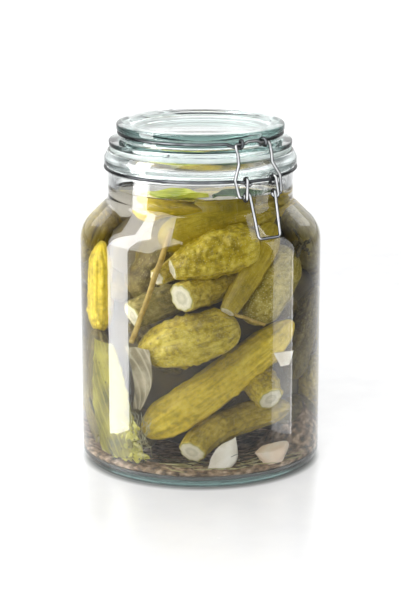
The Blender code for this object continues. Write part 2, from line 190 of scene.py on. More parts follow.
def gherkin_skin(name, shade, ripe, pale, fleck, stipple, spread=0.11, pitting=0.7):
    """Pickled cucumber skin: blotched yellow and olive, drawn out lengthwise into pale and dark streaks.

    The wart attribute is 1 on top of a wart, where the skin is paler.
    """
    made, add, place = new_material(name)
    blotches = add("TexNoise", {"Vector": place, "Scale": 60, "Detail": 3})
    mottle = add("TexNoise", {"Vector": place, "Scale": 330, "Detail": 6})
    both = add("Mix", {0: 0.5, 2: blotches, 3: mottle})
    stops = [(0.51 - spread, shade), (0.51, ripe), (0.51 + spread * 1.2, pale)]
    tone = add("ValToRGB", {"Fac": both}, stops)
    around = add("UVMap", uv_map="skin")
    drawn = add("Mapping", {"Vector": around, "Scale": (44, 2.6, 1)})
    streaks = add("TexNoise", {"Vector": drawn, "Scale": 1, "Detail": 4})
    specks = add("TexVoronoi", {"Vector": place, "Scale": 800})
    wart = add("Attribute", attribute_name="wart").outputs["Fac"]
    pits = add("TexVoronoi", {"Vector": place, "Scale": 230})
    layers = (
        (streaks, 0.52, 0.72, 0, 0.5, pale),
        (streaks, 0.3, 0.46, 0.6, 0, shade),
        (specks, 0.12, 0.3, fleck, 0, "E6DFA0"),
        (wart, 0.3, 1, 0, 0.45, pale),
        (pits, 0.06, 0.16, pitting, 0, "4E4212"),
    )
    skin = layered(add, tone, layers)
    grain = add("TexNoise", {"Vector": place, "Scale": 700, "Detail": 4})
    relief = textured(add, grain, (0.25, 0.55), stipple, 0.5)
    return finished(made, add, {"Base Color": skin, "IOR": 1.3, **relief})


def gherkin_flesh():
    """A cut end: wet cream flesh, a thin green rim and a ring of glassy seed chambers."""
    made, add, place = new_material("wet_cut_gherkin")
    face = add("UVMap", uv_map="skin")
    centred = add("Mapping", {"Vector": face, "Location": (-0.5, -0.5, 0)})
    reach = add("VectorMath", {0: centred}, operation="LENGTH")
    stops = [(0, "E6DFC8"), (0.2, "CDC8AC"), (0.3, "EAE4CF"), (0.43, "DFD8B8"), (0.48, "A8A04A")]
    rings = add("ValToRGB", {"Fac": reach}, stops)
    cells = add("TexVoronoi", {"Vector": place, "Scale": 420})
    seeded = layered(add, rings, [(cells, 0.1, 0.6, 0.3, 0, "C9C6B4")])
    relief = textured(add, cells, (0.25, 0.5), 0.4, 0.3)
    return finished(made, add, {"Base Color": seeded, "IOR": 1.3, **relief})


def mottled(name, shades, size, roughness, relief, relief_size):
    """A plain food surface: a mottle of shades, with matching grain in its gloss and relief."""
    made, add, place = new_material(name)
    patches = add("TexNoise", {"Vector": place, "Scale": size, "Detail": 5})
    stops = [(0.3 + 0.4 * index / (len(shades) - 1), shade) for index, shade in enumerate(shades)]
    tone = add("ValToRGB", {"Fac": patches}, stops)
    grain = add("TexNoise", {"Vector": place, "Scale": relief_size, "Detail": 3})
    looks = textured(add, grain, (roughness * 0.7, roughness * 1.3), 0.6, relief)
    return finished(made, add, {"Base Color": tone, "IOR": 1.3, **looks})


def leaf_blade(name, shade, ripe, pale, spotted=0, vein_count=3.4):
    """A soaked leaf: thin enough to glow, with pale side veins and brown spots where it is torn."""
    made, add, place = new_material(name)
    patches = add("TexNoise", {"Vector": place, "Scale": 60, "Detail": 5})
    tone = add("ValToRGB", {"Fac": patches}, [(0.32, shade), (0.5, ripe), (0.68, pale)])
    flat = add("UVMap", uv_map="skin")
    wave = {"Vector": flat, "Scale": vein_count, "Distortion": 1.4, "Detail": 2}
    veins = add("TexWave", wave, bands_direction="DIAGONAL").outputs["Fac"]
    spots = add("TexVoronoi", {"Vector": place, "Scale": 190})
    layers = ((veins, 0.75, 1, 0, 0.6, pale), (spots, 0.1, 0.2, spotted, 0, "3A3214"))
    blade = layered(add, tone, layers)
    relief = textured(add, patches, (0.3, 0.6), 0.5, 0.4, veins)
    shader = add("BsdfPrincipled", {"Base Color": blade, **relief})
    glow = add("BsdfTranslucent", {"Color": blade})
    add("OutputMaterial", {"Surface": add("MixShader", {0: 0.35, 1: shader, 2: glow})})
    return made


def studio_floor(camera_side, right_side):
    """A satin white floor with a faint grain, with painted light and shade.

    Under the jar a dark painted shadow is laid on it. Well outside the view it falls off to grey as painted
    shade, which shows dark in the glass. It glows, more at its far end, as painted light, though it is no
    lamp.
    """
    made, add, place = new_material("satin_white_floor_with_painted_light")
    grain = add("TexNoise", {"Vector": place, "Scale": 40, "Detail": 6})
    tone = add("ValToRGB", {"Fac": grain}, stops=[(0.2, "F7F7F8"), (0.8, "FCFCFC")])
    nearness = add("VectorMath", {0: place, 1: camera_side}, operation="DOT_PRODUCT")
    sideways = add("VectorMath", {0: place, 1: right_side}, operation="DOT_PRODUCT")
    aside = add("Math", {0: sideways}, operation="ABSOLUTE")
    deeper = add("Math", {0: nearness, 1: 0.12, 2: aside}, operation="MULTIPLY_ADD")
    ahead = add("Math", {0: nearness, 1: 0.12}, operation="SUBTRACT")
    outside = add("Math", {0: ahead, 1: deeper}, operation="MAXIMUM")
    reach = add("VectorMath", {0: place}, operation="LENGTH")
    # Painted shade: grey falling off away from the view, and a dark painted shadow on the disc under the
    # jar.
    layers = ((outside, 0.17, 0.6, 0, 0.85, "3A3A3C"), (reach, 0.074, 0.079, 0.72, 0, "24312F"))
    shaded = layered(add, tone, layers)
    rough = add("MapRange", {"Value": grain, "To Min": 0.2, "To Max": 0.3})
    # Painted light: the floor glows, most at its far end, though it is no lamp.
    far_to_near = {"From Min": -2.5, "From Max": -0.6, "To Min": 0.7, "To Max": 0.15}
    glow = add("MapRange", {"Value": nearness, **far_to_near})
    looks = {"Base Color": shaded, "Roughness": rough, "Emission Color": shaded}
    return finished(made, add, {**looks, "Emission Strength": glow})


# ---- shapes

IN_HEAP = ("filled_jar", "gherkins", ["gherkin_heap"])  # body, slot and what is replaced
PACKED_TURN = radians(-34)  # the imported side's front, measured round from -Y
CHORD = 0.015  # how far a fine arc's straight pieces may leave the arc, in mm
SMOOTH_TURN = 160  # faces round a turned piece


def rounded(corners):
    """Points in millimetres of a path through (x, y, z, bend radius) corners."""
    places = [Vector(corner[:3]) for corner in corners]
    points = [places[0]]
    for before, here, after, corner in zip(places, places[1:], places[2:], corners[1:]):
        back = (before - here).normalized()
        ahead = (after - here).normalized()
        half = back.angle(ahead) / 2
        radius = corner[3]
        if radius <= CHORD or half > radians(89.5):
            points.append(here)
            continue
        centre = here + (back + ahead).normalized() * radius / sin(half)
        arm = here + back * radius / tan(half) - centre
        sweep = pi - 2 * half
        count = ceil(sweep / (2 * acos(1 - CHORD / radius)))
        axis = ahead.cross(back)
        for index in range(count + 1):
            points.append(centre + Matrix.Rotation(sweep * index / count, 3, axis) @ arm)
    points.append(places[-1])
    return points


def in_scene(name, data):
    """A new object in the scene."""
    obj = bpy.data.objects.new(name, data)
    bpy.context.scene.collection.objects.link(obj)
    return obj


def piece_from(name, points, faces, finishes, body, slot, replaced=(), smooth=True):
    """An object from points in metres, which rides on a body. Its slot is not used."""
    mesh = bpy.data.meshes.new(name)
    mesh.from_pydata([tuple(point) for point in points], [], faces)
    mesh.validate()
    mesh.polygons.foreach_set("use_smooth", [smooth] * len(mesh.polygons))
    for finish in finishes:
        mesh.materials.append(finish)
    obj = in_scene(name, mesh)
    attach(obj, body)
    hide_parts(*replaced)
    return obj


def turned(name, corners, finish, body, slot, replaced=(), closed=False):
    """Turns a clockwise profile of (radius, height, bend radius) corners round the jar's axis."""
    profile = rounded([(radius, 0, height, bend) for radius, height, bend in corners])
    points = []
    rows = []
    for place in profile:
        if place.x < 1e-6:
            rows.append([len(points)] * SMOOTH_TURN)
            points.append((0, 0, place.z * MM))
            continue
        rows.append(range(len(points), len(points) + SMOOTH_TURN))
        for step in range(SMOOTH_TURN):
            angle = 2 * pi * step / SMOOTH_TURN
            points.append((place.x * cos(angle) * MM, place.x * sin(angle) * MM, place.z * MM))
    faces = []
    pairs = list(zip(rows, rows[1:]))
    if closed:
        pairs.append((rows[-1], rows[0]))
    for low, high in pairs:
        for step in range(SMOOTH_TURN):
            after = (step + 1) % SMOOTH_TURN
            # Where a row is one point on the axis, a face has three corners.
            faces.append(list(dict.fromkeys([low[step], high[step], high[after], low[after]])))
    return piece_from(name, points, faces, [finish], body, slot, replaced)


def wire_shape(points, thickness, cyclic=False, sides=16):
    """The points and faces of a round wire along points in millimetres, with flat ends."""
    points = [Vector(point) for point in points]
    count = len(points)
    rings = []
    normal = None
    for index, point in enumerate(points):
        before = points[index - 1] if index or cyclic else point
        after = points[(index + 1) % count] if index < count - 1 or cyclic else point
        along = (after - before).normalized()
        if normal is None:
            normal = along.orthogonal().normalized()
        normal = (normal - along * normal.dot(along)).normalized()
        other = along.cross(normal)
        ring = []
        for side in range(sides):
            angle = 2 * pi * side / sides
            offset = normal * cos(angle) + other * sin(angle)
            ring.append((point + offset * thickness / 2) * MM)
        rings.append(ring)
    if cyclic:
        # The frame that comes round to the start is turned, so the last ring is joined a few sides on.
        shift = min(range(sides), key=lambda k: (rings[-1][k] - rings[0][0]).length)
    faces = []
    for index in range(count if cyclic else count - 1):
        here = index * sides
        there = (index + 1) % count * sides
        turn = shift if cyclic and index == count - 1 else 0
        for side in range(sides):
            after = (side + 1) % sides
            near = [here + (side + turn) % sides, here + (after + turn) % sides]
            faces.append(near + [there + after, there + side])
    if not cyclic:
        faces.append(list(range(sides))[::-1])
        faces.append(list(range((count - 1) * sides, count * sides)))
    return [point for ring in rings for point in ring], faces


def drawn_wire(name, points, finish, body, replaced, cyclic=False):
    """A piece of the closure's round wire."""
    places, faces = wire_shape(points, WIRE, cyclic)
    piece_from(name, places, faces, [finish], body, "wire", [replaced])


def to_part(place):
    """A (right, front, up) place in millimetres as a place of the part in metres."""
    right, front, up = place
    return Matrix.Rotation(PACKED_TURN, 3, "Z") @ Vector((right, -front, up)) * MM


def ray(angle):
    """The unit vector at an angle round Z."""
    return Vector((cos(angle), sin(angle), 0))


def at_bearing(bearing, reach, height):
    """A (right, front, up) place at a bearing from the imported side's front."""
    return Vector((reach * sin(bearing), reach * cos(bearing), height))


def tube_faces(rings, sides):
    """Quads between rings of points, with so many points to a ring."""
    faces = []
    for here in range(0, rings * sides, sides):
        for side in range(sides):
            after = (side + 1) % sides
            faces.append((here + side, here + after, here + sides + after, here + sides + side))
    return faces


def set_uvs(piece, uvs):
    """Gives a piece its place on the skin or leaf, as one (u, v) for each corner of its faces."""
    layer = piece.data.uv_layers.new(name="skin")
    layer.data.foreach_set("uv", [value for pair in uvs for value in pair])


def lies_inside(point):
    """Whether a place on the jar is on its inner wall or floor."""
    return point.co.xy.dot(point.normal.xy) < 1e-6 and point.normal.z > -0.7


def mark_points(piece, name, rule):
    """Marks the points that a rule holds for."""
    marking = piece.data.attributes.new(name, "FLOAT", "POINT")
    for point, mark in zip(piece.data.vertices, marking.data):
        mark.value = float(rule(point))


# ---- glass, seal and brine

# The same profiles as the part's, as (radius, height, bend radius) in millimetres.
JAR_PROFILE = [
    # Inside: floor, wall, shoulder, neck and mouth.
    (0, 7, 0), (45, 6.6, 30), (62, 5.4, 10), (73.5, 5.4, 4.5),
    (73.5, 152.6, 16), (55.2, 170.6, 8), (55.2, 191, 4), (50.5, 197, 4),
    # Lip and bead.
    (50.5, 204, 1.2), (59.4, 204, 1.4), (61.8, 199.6, 3), (61.8, 195.4, 1), (59.4, 194.8, 0.8),
    # Outside: neck, shoulder, wall, foot ring and raised bottom.
    (59.4, 172.2, 6), (77.5, 154.2, 20), (77.5, 0, 7.5),
    (66, 0, 2), (60, 1.8, 8), (0, 2.4, 0),
]
LID_PROFILE = [
    # Top: dish, rim, disc and flange.
    (0, 218.9, 0), (42.5, 218.9, 1.5), (45.5, 221.2, 1.5), (50, 221.9, 2), (53.9, 220.9, 1.4),
    (53.9, 216.8, 0.8), (50.8, 216.8, 0.8), (50.8, 211, 1.2), (58.8, 210.2, 1), (58.8, 207, 0.6),
    # Underside and ring.
    (49.2, 207, 0.3), (49.2, 200.8, 1.6), (44, 200.8, 1.6), (43, 211, 3), (0, 212.8, 0),
]
SEAL_PROFILE = [
    (54.8, 204.3, 0), (51.4, 204.3, 0.5), (51.4, 206.7, 0.5), (58.2, 206.7, 0.8), (58.2, 204.3, 0.8),
]
INTO_WALL = 0.4  # how far the brine reaches into the glass
SURFACE = 179.0  # the brine's level
MIST_START = 191.0  # the height above which the inside of the neck is misted
# The brine stands up a little where it wets the neck.
BRINE_PROFILE = [
    (0, SURFACE, 0), (50.5, SURFACE, 0), (53.4, SURFACE + 0.3, 2), (54.9, SURFACE + 1.8, 1.5),
    (55.2 + INTO_WALL, SURFACE + 2.3, 0), (55.2 + INTO_WALL, 170.6, 8), (73.5 + INTO_WALL, 152.6, 16),
    (73.5 + INTO_WALL, 5.4 - INTO_WALL, 4.5), (62, 5.4 - INTO_WALL, 10),
    (45, 6.6 - INTO_WALL, 30), (0, 7.0 - INTO_WALL, 0),
]

# ---- wires

WIRE = 2.1  # the wire's thickness in mm
EYE_RADIUS = 2.4
EYE_STEP = 12  # degrees
BAND_STEPS = 64
HINGE = (66, 204)  # (y, z) of the bars and eyes
FULCRUM = (-65.3, 193.2)
LINK_BAR = (-57.1, 215.3)
LINK_FOOT = (-66.3, 184)
LEVER_END = (-76.3, 159)
NECK_BAND_HEIGHT = 192.9
LID_BAND_HEIGHT = 214.9


def mirrored(points):
    """The half path's mirror in X, run backwards, so that both halves make one path."""
    return [Vector((-point.x, point.y, point.z)) for point in reversed(points)]


def eye(centre, x_start, x_end, start, sweep):
    """A helix about an X axis. Angles run from +Y towards +Z, in degrees."""
    count = round(abs(sweep) / EYE_STEP)
    y, z = centre
    points = []
    for index in range(count + 1):
        part = index / count
        angle = radians(start + sweep * part)
        x = x_start + (x_end - x_start) * part
        points.append(Vector((x, y + EYE_RADIUS * cos(angle), z + EYE_RADIUS * sin(angle))))
    return points


def band_arc(radius, height, front_x, back_x):
    """The +X side of a circle about Z, from one X at the front to another at the back."""
    start = -atan2(sqrt(radius**2 - front_x**2), front_x)
    end = atan2(sqrt(radius**2 - back_x**2), back_x)
    angles = [start + (end - start) * index / BAND_STEPS for index in range(BAND_STEPS + 1)]
    return [Vector((radius * cos(angle), radius * sin(angle), height)) for angle in angles]


def neck_band_path():
    front = rounded([(0, *FULCRUM, 0), (12.6, *FULCRUM, 2), (15.6, -58.82, NECK_BAND_HEIGHT, 0)])
    side = band_arc(61, NECK_BAND_HEIGHT, 17.2, 17)
    leave = [(15, 59, NECK_BAND_HEIGHT, 0), (13.2, HINGE[0], NECK_BAND_HEIGHT, 2.4)]
    back = rounded(leave + [(12.9, *HINGE, 2.2), (0, *HINGE, 0)])
    half = front + side + back
    return half + mirrored(half)[1:-1]


def lid_band_path():
    low = LINK_BAR[1] - EYE_RADIUS
    front = eye(LINK_BAR, 7.1, 9.4, -60, 330)
    corner = (10.4, -54.2, low, 2)
    leave = rounded([(9.4, LINK_BAR[0], low, 0), corner, (14.6, -50.3, LID_BAND_HEIGHT, 0)])
    side = band_arc(52.35, LID_BAND_HEIGHT, 16.6, 16)
    bend = (10.4, 62.6, LID_BAND_HEIGHT - 1, 4)
    arm = rounded([(14.2, 50.6, LID_BAND_HEIGHT, 0), bend, (9.6, HINGE[0] + EYE_RADIUS, HINGE[1], 0)])
    wound = eye(HINGE, 9.5, 5.6, 0, -540)
    bridge_y = HINGE[0] - EYE_RADIUS
    bridge = rounded(
        [(5.5, bridge_y, HINGE[1] + 0.6, 0), (5.3, bridge_y, 209.6, 2), (0, bridge_y, 209.6, 0)]
    )
    half = front + leave[1:] + side + arm[:-1] + wound + bridge
    return half + mirrored(half)[1:]


def link_path():
    arch = LINK_BAR[1] + 1.2
    corners = [
        (0, LINK_BAR[0], arch, 0), (3.2, LINK_BAR[0], arch, 4), (5.8, *LINK_BAR, 4),
        (12.8, *LINK_BAR, 1.6), (12.6, -60, 209, 4), (12.6, -60.8, 203, 3),
        (17, -63.2, 194.6, 3), (15.8, *LINK_FOOT, 1.5), (13.3, *LINK_FOOT, 0),
    ]
    half = rounded(corners)
    return mirrored(half)[:-1] + half


def leaving_angle(start, stop):
    """The angle on an eye at start from which the wire runs straight to stop."""
    along = (Vector(stop) - Vector(start)).normalized()
    return degrees(atan2(-along.x, along.y)) % 360


def lever_path():
    arm_angle = leaving_angle(FULCRUM, LINK_FOOT)
    leg_angle = leaving_angle(LINK_FOOT, LEVER_END)
    top = eye(FULCRUM, 8.5, 10.8, arm_angle - 335, 335)
    bottom = eye(LINK_FOOT, 11.9, 9.5, arm_angle, leg_angle + 360 - arm_angle)
    loop = rounded([(*bottom[-1], 0), (8.1, *LEVER_END, 2.4), (0, *LEVER_END, 0)])
    half = top + bottom + loop[1:]
    return half + mirrored(half)[1:]


# ---- gherkins

# Places are (right, front, up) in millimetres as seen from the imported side.
# Radii are at the first end, the middle and the second end. A cut end is flat.
WHOLE = (False, False)
CUT = (True, False)
USUAL = (WHOLE, (0, 0, 0), "ripe", 0, 0.25, 0.6)
Gherkin = namedtuple("Gherkin", "start end radii cuts sag skin warts ribs lumps", defaults=USUAL)
PACKED_GHERKINS = [
    Gherkin((-24, 48, 151), (32, 22, 167), (10, 11.5, 10), skin="smooth", ribs=0.15),
    Gherkin((-16, 55, 138), (34, 42, 150), (6.5, 11.5, 12.5), CUT, (0, 0, 0), "bright", 150, 0.3, 0.9),
    Gherkin((12, 34, 151), (42, 14, 163), (8, 9, 8), warts=30),
    Gherkin((-11, 60, 121), (24, 26, 129), (9.4, 10, 8), CUT, warts=60, ribs=0.3),
    Gherkin((-25, 50, 132), (-10, 34, 137), (5, 6, 6), CUT),
    Gherkin((-39, 44, 106), (-8, 30, 119), (8.4, 9.4, 9), CUT, skin="dull", warts=20),
    Gherkin((16, 59, 112), (43, 32, 158), (5.5, 7.8, 7.5), CUT, skin="smooth", ribs=0.2),
    Gherkin((28, 47, 102), (51, 24, 142), (11, 14, 12), skin="stippled", ribs=0.1),
    Gherkin((-36, 46, 82), (22, 50, 102), (8.5, 15.5, 14), WHOLE, (0, 5, 0), "bright", 60, 0.7, 1),
    Gherkin((-33, 44, 29), (52, 26, 98), (13.2, 12.4, 10.5), WHOLE, (0, 5, -2), "golden", 14, 0.5, 0.8),
    Gherkin((-5, 57, 20.5), (50, 24, 41), (8.4, 9.6, 9), CUT, sag=(-6.5, -5.5, 3.75), ribs=0.3),
    Gherkin((41, 46, 52), (26, 24, 68), (8.4, 10, 8), CUT, skin="bright", warts=70),
    Gherkin((-54, 9, 87), (-54, 14, 143), (8, 8.5, 7.5), skin="golden", warts=10),
    Gherkin((-56, 18, 22), (-55, 11, 90), (8.5, 9.5, 8.5), skin="shaded", warts=10),
    Gherkin((53, 28, 60), (58, -8, 112), (8.5, 10.5, 9), skin="shaded", warts=20),
    Gherkin((-36, 12, 157), (16, -4, 166), (9, 10, 9), skin="golden"),
    Gherkin((-4, -28, 157), (40, -12, 164), (9, 10.5, 9)),
    Gherkin((-24, 29, 84), (18, 33, 98), (11, 13, 11), skin="shaded"),
    Gherkin((-34, 16, 112), (-8, 24, 156), (11, 13, 11), skin="shaded", warts=30),
    Gherkin((-2, 26, 148), (32, 10, 158), (10, 12, 10), skin="dull"),
]
ROUND_REACH = 0.24  # the part of the length over which a whole end rounds off
KNIFE_EDGE = 0.012  # the same for the rim of a cut end
SKIN_TILE = 40  # mm along the skin to one step of its (u, v)
LUMP_SIZE = 9  # mm
WART_SIZE = 2.0  # mm across the shoulder of a wart
WART_HEIGHT = 1.5
FINE = (120, 96)  # rings along a gherkin and sides round it, where it is seen well
PLAIN = (64, 48)
INNER_COUNT = 14
BACK_STEP = 41  # degrees from one to the next along the back wall
# Height of the middle, half height, reach of the wall, first bearing in degrees, and how many
BACK_TIERS = ((44, 23, 71.5, 105, 5), (89, 24, 69.5, 113, 4), (132, 21, 66, 106, 4))


def back_gherkins():
    """Gherkins that lean against the rest of the wall, in the tiers of BACK_TIERS."""
    draw = random.Random(11)
    found = []
    for tier, (middle_height, half_height, wall, first, count) in enumerate(BACK_TIERS):
        for index in range(count):
            around = radians(first + BACK_STEP * index + draw.uniform(-5, 5))
            lean = radians(draw.uniform(15, 23)) * (1 if index % 2 else -1)
            radius = draw.uniform(10, 13)
            reach = wall - radius
            height = middle_height + draw.uniform(-3, 3)
            start = at_bearing(around - lean, reach, height - half_height)
            end = at_bearing(around + lean, reach, height + half_height)
            sag = at_bearing(around, reach * (1 - cos(lean)), 0)
            radii = (radius * 0.85, radius, radius * 0.8)
            skin = ("ripe", "bright", "dull", "golden", "shaded")[(index + tier) % 5]
            cuts = (index % 3 == 1, False)
            found.append(Gherkin(start, end, radii, cuts, sag, skin, (0, 60, 20)[index % 3], 0.3))
    return found


def inner_gherkins():
    """Gherkins that half show from the dark middle, in the gaps between the ones at the wall."""
    draw = random.Random(23)
    found = []
    for index in range(INNER_COUNT):
        around = radians(360 * index / INNER_COUNT + draw.uniform(-8, 8))
        height = (38, 78, 118)[index % 3] + draw.uniform(-8, 8)
        middle = Vector((47 * sin(around), 36 * cos(around) - 10, height))
        tip = Vector((cos(around), -sin(around), draw.uniform(-2, 2))).normalized() * 22
        found.append(Gherkin(middle - tip, middle + tip, (8, 9.5, 8), skin="shaded", warts=20))
    return found


def filling_radius(part, radii):
    """The radius along a gherkin, which swells towards its middle."""
    first, middle, last = radii
    swell = np.sin(pi * part)
    return np.where(part < 0.5, first + (middle - first) * swell, last + (middle - last) * swell)


def end_rounding(part, cuts):
    """1 along the middle, running down to 0 at an end that isn't cut."""
    rounding = np.ones_like(part)
    for cut, from_end in zip(cuts, (part, 1 - part)):
        if cut:
            # A knife leaves the rim of a cut end just softened.
            edge = np.clip(1 - from_end / KNIFE_EDGE, 0, 1)
            rounding = rounding * (1 - 0.06 * edge**2)
        else:
            inside = np.clip(1 - from_end / ROUND_REACH, 0, 1)
            rounding = rounding * np.sqrt(np.clip(1 - inside**2, 0, 1))
    return rounding


def raised_skin(shape, part, angle, length, seed):
    """How far ribs, lumps and warts lift the skin in millimetres, and how much of it is wart."""
    draw = random.Random(seed)
    dice = np.random.default_rng(seed)
    girth = shape.radii[1]
    bearing = draw.uniform(0, 2 * pi)
    rib = np.cos(draw.choice((8, 9, 10)) * angle + bearing)[None, :]
    lobe = np.cos(3 * angle + 2 * bearing)[None, :]
    relief = shape.ribs * rib + 0.25 * lobe * (girth / 10)

    lumps = np.zeros((len(part), len(angle)))
    offset = Vector((draw.uniform(0, 50), draw.uniform(0, 50), draw.uniform(0, 50)))
    for row, side in np.ndindex(lumps.shape):
        spot = (ray(angle[side]) * girth + Vector((0, 0, part[row] * length))) / LUMP_SIZE + offset
        lumps[row, side] = noise.noise(spot) + 0.5 * noise.noise(spot * 2.3)
    relief = relief + shape.lumps * lumps

    wart = np.zeros(lumps.shape)
    for _ in range(shape.warts):
        at = dice.uniform(0.06, 0.94)
        bearing_of_wart = dice.uniform(0, 2 * pi)
        size = WART_SIZE * dice.uniform(0.7, 1.3)
        height = dice.uniform(0.5, 1)
        turn = np.abs((angle[None, :] - bearing_of_wart + pi) % (2 * pi) - pi)
        away = np.hypot(turn * girth, (part[:, None] - at) * length) / size
        wart = np.maximum(wart, height * np.exp(-(away**2) * 1.6))
    return relief + WART_HEIGHT * wart, wart


def cut_end(points, rim, centre, lift):
    """Closes a cut end, from its rim to a hub in the middle. Points are added to the list.

    Each face is a list of (point, side, how far out it lies).
    """
    faces = []
    middle = to_part(centre)
    previous = rim
    scale = 1.0
    count = len(rim)
    for step, share in enumerate((0.93, 0.75, 0.5, 0.25)):
        current = range(len(points), len(points) + count)
        for index in rim:
            wobble = 0.25 * noise.noise(points[index] * 400 + Vector((0, 0, step)))
            raised = to_part(lift * (0.25 + wobble))
            points.append(middle + (points[index] - middle) * share + raised)
        for side in range(count):
            after = (side + 1) % count
            outer = [(previous[after], after, scale), (previous[side], side, scale)]
            faces.append(outer + [(current[side], side, share), (current[after], after, share)])
        previous = current
        scale = share
    hub = len(points)
    points.append(to_part(centre + lift * 0.3))
    for side in range(count):
        after = (side + 1) % count
        faces.append([(previous[after], after, scale), (previous[side], side, scale), (hub, 0, 0)])
    return faces


def make_gherkin(name, shape, finishes, seed, rings, sides):
    """A gherkin along its sagging line, with its raised skin and its cut ends."""
    part = 0.5 - 0.5 * np.cos(pi * np.linspace(0, 1, rings + 1))
    angle = 2 * pi * np.arange(sides) / sides
    start, end, sag = Vector(shape.start), Vector(shape.end), Vector(shape.sag)
    straight = end - start
    length = straight.length
    radius = filling_radius(part, shape.radii) * end_rounding(part, shape.cuts)
    relief, wart = raised_skin(shape, part, angle, length, seed)
    fade = np.minimum(1, radius / (0.5 * shape.radii[1]))[:, None]
    full = radius[:, None] + relief * fade * (radius[:, None] > 0)

    points = []
    for row in range(rings + 1):
        middle = start + straight * part[row] + sag * 4 * part[row] * (1 - part[row])
        along = straight + sag * 4 * (1 - 2 * part[row])
        turn = along.to_track_quat("Z", "Y").to_matrix()
        for side in range(sides):
            points.append(to_part(middle + turn @ ray(angle[side]) * max(0, full[row, side])))

    faces = tube_faces(rings, sides)
    uvs = []
    for row in range(rings):
        low, high = part[row] * length / SKIN_TILE, part[row + 1] * length / SKIN_TILE
        for side in range(sides):
            left, right = side / sides, (side + 1) / sides
            uvs += [(left, low), (right, low), (right, high), (left, high)]
    kinds = [0] * len(faces)
    for cut, row, outward, centre in zip(shape.cuts, (0, rings), (-1, 1), (start, end)):
        if not cut:
            continue
        rim = range(row * sides, row * sides + sides)
        for corners in cut_end(points, rim, centre, straight.normalized() * outward):
            if row:
                corners.reverse()
            faces.append([point for point, where, reach in corners])
            for point, where, reach in corners:
                across, up = cos(angle[where]), sin(angle[where])
                uvs.append((0.5 + 0.5 * reach * across, 0.5 + 0.5 * reach * up))
            kinds.append(1)

    piece = piece_from(name, points, faces, finishes, *IN_HEAP)
    set_uvs(piece, uvs)
    piece.data.polygons.foreach_set("material_index", kinds)
    marking = piece.data.attributes.new("wart", "FLOAT", "POINT")
    marking.data.foreach_set("value", [*wart.flat, *[0.0] * (len(points) - wart.size)])


# ---- garlic, leaves, dill and the bed

THREAD_REACH = 72.4  # how far out a thread may lie
LEAF_COLUMNS, LEAF_ROWS = 90, 46
BED_HEIGHT = 12.0  # in the middle, over the outside of the base
BED_REACH = 72.2
DRIFT_RADIUS = 14.5


def lumpy_ball(name, start, end, radii, finish, seed, sag=(0, 0, 0), knife=None, flat=1, lump=0.12):
    """A rounded lump between two places, pressed from front to back and pushed about by noise.

    A knife is the direction and distance from the middle at which the lump is sliced flat.
    """
    start, end, sag = Vector(start), Vector(end), Vector(sag)
    middle_place = (start + end) / 2 + sag
    rings, sides = 48, 64
    straight = end - start
    turn = straight.to_track_quat("Z", "Y").to_matrix()
    first, middle, last = radii
    points = []
    for row in range(rings + 1):
        part = 0.5 - 0.5 * cos(pi * row / rings)
        near = first if part < 0.5 else last
        swell = sin(pi * part)
        width = (near + (middle - near) * swell) * min(1, 2.2 * sqrt(part * (1 - part)))
        for side in range(sides):
            angle = 2 * pi * side / sides
            across = turn @ ray(angle) * width
            across.y *= flat
            spot = Vector((cos(angle), sin(angle), 3 * part)) * 1.3 + Vector((seed, 0, 0))
            across *= 1 + lump * noise.noise(spot)
            place = start + straight * part + sag * 4 * part * (1 - part) + across
            if knife:
                facing = Vector(knife[0]).normalized()
                place -= facing * max(0, (place - middle_place).dot(facing) - knife[1])
            points.append(to_part(place))
    piece_from(name, points, tube_faces(rings, sides), [finish], *IN_HEAP)


def make_leaf(name, place, finish, slot, replaced, thickness=0.5):
    """A thin sheet with two faces split alike. place(along, across) is for 0..1 and -1..1."""
    points = []
    for column in range(LEAF_COLUMNS + 1):
        for row in range(LEAF_ROWS + 1):
            points.append(to_part(place(column / LEAF_COLUMNS, 2 * row / LEAF_ROWS - 1)))
    width = LEAF_ROWS + 1
    faces = []
    uvs = []
    for column in range(LEAF_COLUMNS):
        for row in range(LEAF_ROWS):
            here = column * width + row
            faces.append((here, here + width, here + width + 1, here + 1))
            ends = ((column, row), (column + 1, row), (column + 1, row + 1), (column, row + 1))
            uvs += [(x / LEAF_COLUMNS, y / LEAF_ROWS) for x, y in ends]
    sheet = piece_from(name, points, faces, [finish], "filled_jar", slot, [replaced])
    set_uvs(sheet, uvs)
    solidify = sheet.modifiers.new("Thickness", "SOLIDIFY")
    solidify.thickness = thickness * MM
    solidify.offset = 0.0


def floating_leaf(start, end, half_width, wave):
    """A leaf blade on the brine, widest before its middle, with a raised wavy edge."""

    def place(along, across):
        straight = Vector(end) - Vector(start)
        side = Vector((-straight.y, straight.x, 0)).normalized()
        width = half_width * (0.08 + 0.92 * sin(pi * along**0.8))
        width *= 1 + 0.05 * sin(23 * along) * abs(across)
        lift = wave * (across**2 + 0.6 * sin(7 * along + 2 * across))
        lift += 0.25 * sin(19 * along + 5 * across)
        return Vector(start) + straight * along + side * width * across + Vector((0, 0, lift))

    return place


def wall_leaf(along, across):
    """A long leaf that stands against the wall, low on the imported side's left."""
    height = 14 + 73 * along
    width = 15 * sin(pi * (0.2 + 0.7 * along)) ** 0.6
    width *= 1 + 0.06 * noise.noise(Vector((9 * along, 0, 0))) + 0.03 * sin(60 * along + 3 * across)
    around = radians(-47 - 9 * along + width * across)
    ruffle = 0.5 * sin(31 * along + 4 * across) * across**2 * (1.2 - along)
    reach = 71.5 + 0.8 * sin(9 * along + 2.5 * across) + ruffle
    return at_bearing(around, reach, height + 1.5 * ruffle)


